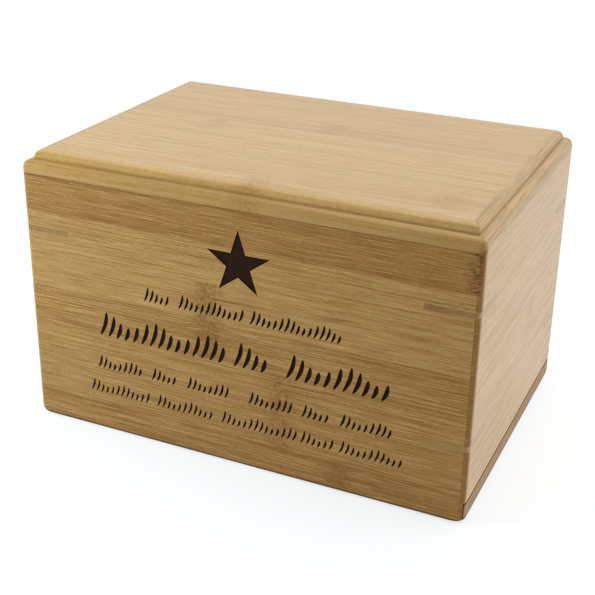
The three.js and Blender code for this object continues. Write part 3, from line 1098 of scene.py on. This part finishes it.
for side, (finish, slot) in WALLS.items():
    wall_piece = joined_wall(side, finish)
    if side == "front":
        cut(wall_piece, form_piece("engraving_cutter", engraving_cutter, burnt_finish))
    settle(wall_piece, "box", slot, f"{side}_panel")

# %% [markdown]
# ## The corner keys
# A key is a thin slip of wood glued into a saw cut across the mitre and trimmed flush. It shows as a
# short bar on both faces of its corner: dark on the front, and paler on the ends and at the left. In
# plan it is a triangle whose outer corner follows the round of the box.

# %% Keys
CORNERS = dict(zip(("back_right", "back_left", "front_left", "front_right"), CORNER_SIGNS))
KEY_PALE = (0.4, 0.25, 0.09)
KEY_DARK = {"upper": (0.245, 0.127, 0.0385), "lower": (0.33, 0.185, 0.055)}
KEY_STREAK, KEY_LAYER, KEY_MOTTLE = 3.0, 0.55, 1.2
KEY_ROUGH, KEY_GLOSS, KEY_COAT = 0.42, 0.15, 0.7
FACE_STEP = (-1.6, -0.1)
CORNER_STEP, CORNER_PALE = (-20.0, -12.0), 0.3
LEFT_STEP, LEFT_PALE = (-50.0, 50.0), 0.45


def key_slip(name, dark):
    """The bamboo of the keys at one level."""
    material, (x, y, z) = begin_finish(name)
    streak = noise(x / KEY_STREAK, y / KEY_STREAK, z / KEY_LAYER, detail=1.0)
    front = (abs(y) - reach_y).ease(*FACE_STEP)
    corner = (x - reach_x).ease(*CORNER_STEP) * CORNER_PALE
    left = (1.0 - x.ease(*LEFT_STEP)) * LEFT_PALE
    colour = blend(front * (1.0 - corner - left) + (streak - 0.5) * KEY_MOTTLE, KEY_PALE, dark)
    rough = KEY_ROUGH + streak * FIBRE_ROUGH
    coat = (1.0 - front) * KEY_COAT
    sheen = {"Specular IOR Level": KEY_GLOSS, "Coat Weight": coat, "Coat Roughness": COAT_ROUGHNESS}
    end_finish(x, {"Base Color": colour, "Roughness": rough, "Normal": relief(streak, BUMP), **sheen})
    return material


def key_plan(sx, sy):
    """The key seen from above: along one face, round the corner, along the other."""
    points = [(half_x, half_y - KEY_LEG)]
    for angle in quarter():
        x = half_x - CORNER_RADIUS * (1 - cos(angle))
        y = half_y - CORNER_RADIUS * (1 - sin(angle))
        points.append((x, y))
    points.append((half_x - KEY_LEG, half_y))
    return [(sx * x, sy * y) for x, y in points]


for level, level_height in KEY_LEVELS.items():
    key_finish = key_slip(f"key_bamboo_{level}", KEY_DARK[level])
    low, high = level_height - KEY_THICKNESS / 2, level_height + KEY_THICKNESS / 2
    for corner, signs in CORNERS.items():
        rings = upright(key_plan(*signs), low, high)
        key = form_piece(f"key_{corner}_{level}", lambda form: skin(form, rings), key_finish)
        settle(key, "box", "key_bamboo", f"corner_{key.name}")

# %% [markdown]
# ## The sliding base
# A thin board runs in grooves in the front, back and left walls. On its right-hand end it carries a
# strip that fills in below the right wall, mitred at both ends like the walls. The strip comes from
# another, redder piece of bamboo. Both ride on the base's body, so they slide out together. The
# board is hardly ever seen, so its tones, blushes and knuckles simply take turns.

# %% Finishes of the board and the end strip
RUST = {
    **STRAW, "pale": (0.35, 0.2, 0.078), "deep": (0.23, 0.115, 0.04), "blush": (0.36, 0.17, 0.09),
    "fibre": 0.9, "long": 0.7, "short": 0.7, "pores": 0.7, "gloss": 0.2, "coat": 0.0, "rough": 0.5,
    "end_reach": 3.4, "end_dark": 0.15, "end_hush": 0.5, "foot_shade": (3.0, 4.2, 0.75),
}
SANDED_STRAW = {**STRAW, "coat": 0.0, "rough": 0.55}
STRIP_BOARD = {"edge": -10.0, "pitch": 30.0}
BOARD_STRIPS, BOARD_KINDS = 9, ((0.8, 0.0), (0.92, 0.1), (0.86, 0.2))
KNUCKLE_FIRST, KNUCKLE_SPREAD, KNUCKLE_TURN, KNUCKLE_STRENGTH = 0.15, 0.7, 7, 0.5

board_strips = []
for i in range(BOARD_STRIPS):
    tone, blush = BOARD_KINDS[i % len(BOARD_KINDS)]
    place = KNUCKLE_FIRST + KNUCKLE_SPREAD * (i * KNUCKLE_TURN % BOARD_STRIPS) / BOARD_STRIPS
    board_strips.append((tone, blush, (place, KNUCKLE_STRENGTH)))
board_finish = bamboo(
    "base_bamboo", "X", "Y", reach_x, **TOP_BOARD, look=SANDED_STRAW,
    strips=board_strips,
)
# Painted shade in the gap between the right wall and the end strip
gap_shade_mark = ({"Z": (strip_high.z / MM, 0.6), "X": (reach_x, 2.0)}, 0.9, SEAM_BROWN_AND_SHADE)
strip_finish = bamboo(
    "strip_bamboo", "Y", "Z", reach_y, **STRIP_BOARD, look=RUST, marks=[gap_shade_mark],
    strips=[(0.8, 0.3, NO_KNUCKLE)],
)
print("base finishes:", board_finish.name, "and", strip_finish.name)

# %% [markdown]
# ## The board and its end strip
# The board is a flat stack of rings with eased arrises. The strip is a low run of the right-hand
# side, a little short of both mitres so that it slides freely, with a rebate for the board's end.

# %% Board and end strip
BOARD_EASE, BOARD_RADIUS = 0.5 * MM, 1.0 * MM
STRIP_END_GAP = 0.9 * MM


def sliding_board(form):
    middle = (board_low + board_high) / 2
    half = (board_high - board_low) / 2
    below = ((BOARD_EASE, -half.z), (0.0, BOARD_EASE - half.z))
    above = ((0.0, half.z - BOARD_EASE), (BOARD_EASE, half.z))
    skin(form, [ring(inset, z, BOARD_RADIUS, half, middle) for inset, z in below + above])


def strip_form(form):
    wall_form(form, "right", wall_rings(strip_low.z, FOOT_EASE, strip_high.z), STRIP_END_GAP)


def rebate_cutter(form):
    """The board's room in the strip, with a hairline of glue round it."""
    glue = Vector((HAIRLINE, HAIRLINE, HAIRLINE))
    skin(form, block_rings(board_low - glue, board_high + 2 * glue))


settle(form_piece("sliding_board", sliding_board, board_finish), "base", "base_bamboo", "base_board")
end_strip = form_piece("end_strip", strip_form, strip_finish)
cut(end_strip, form_piece("rebate_cutter", rebate_cutter, strip_finish))
settle(end_strip, "base", "strip_bamboo", "base_end_strip")

# %% [markdown]
# ## The last look at the size
# The dressed box has to fill the same room as the solids. Both boxes are printed, so that they
# can be set side by side.

# %% Sizes of both boxes, printed
sizes = {"cad": [list(corner) for corner in cad_box], "visual": [list(corner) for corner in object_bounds()]}
print("cad box", sizes["cad"], "dressed box", sizes["visual"])
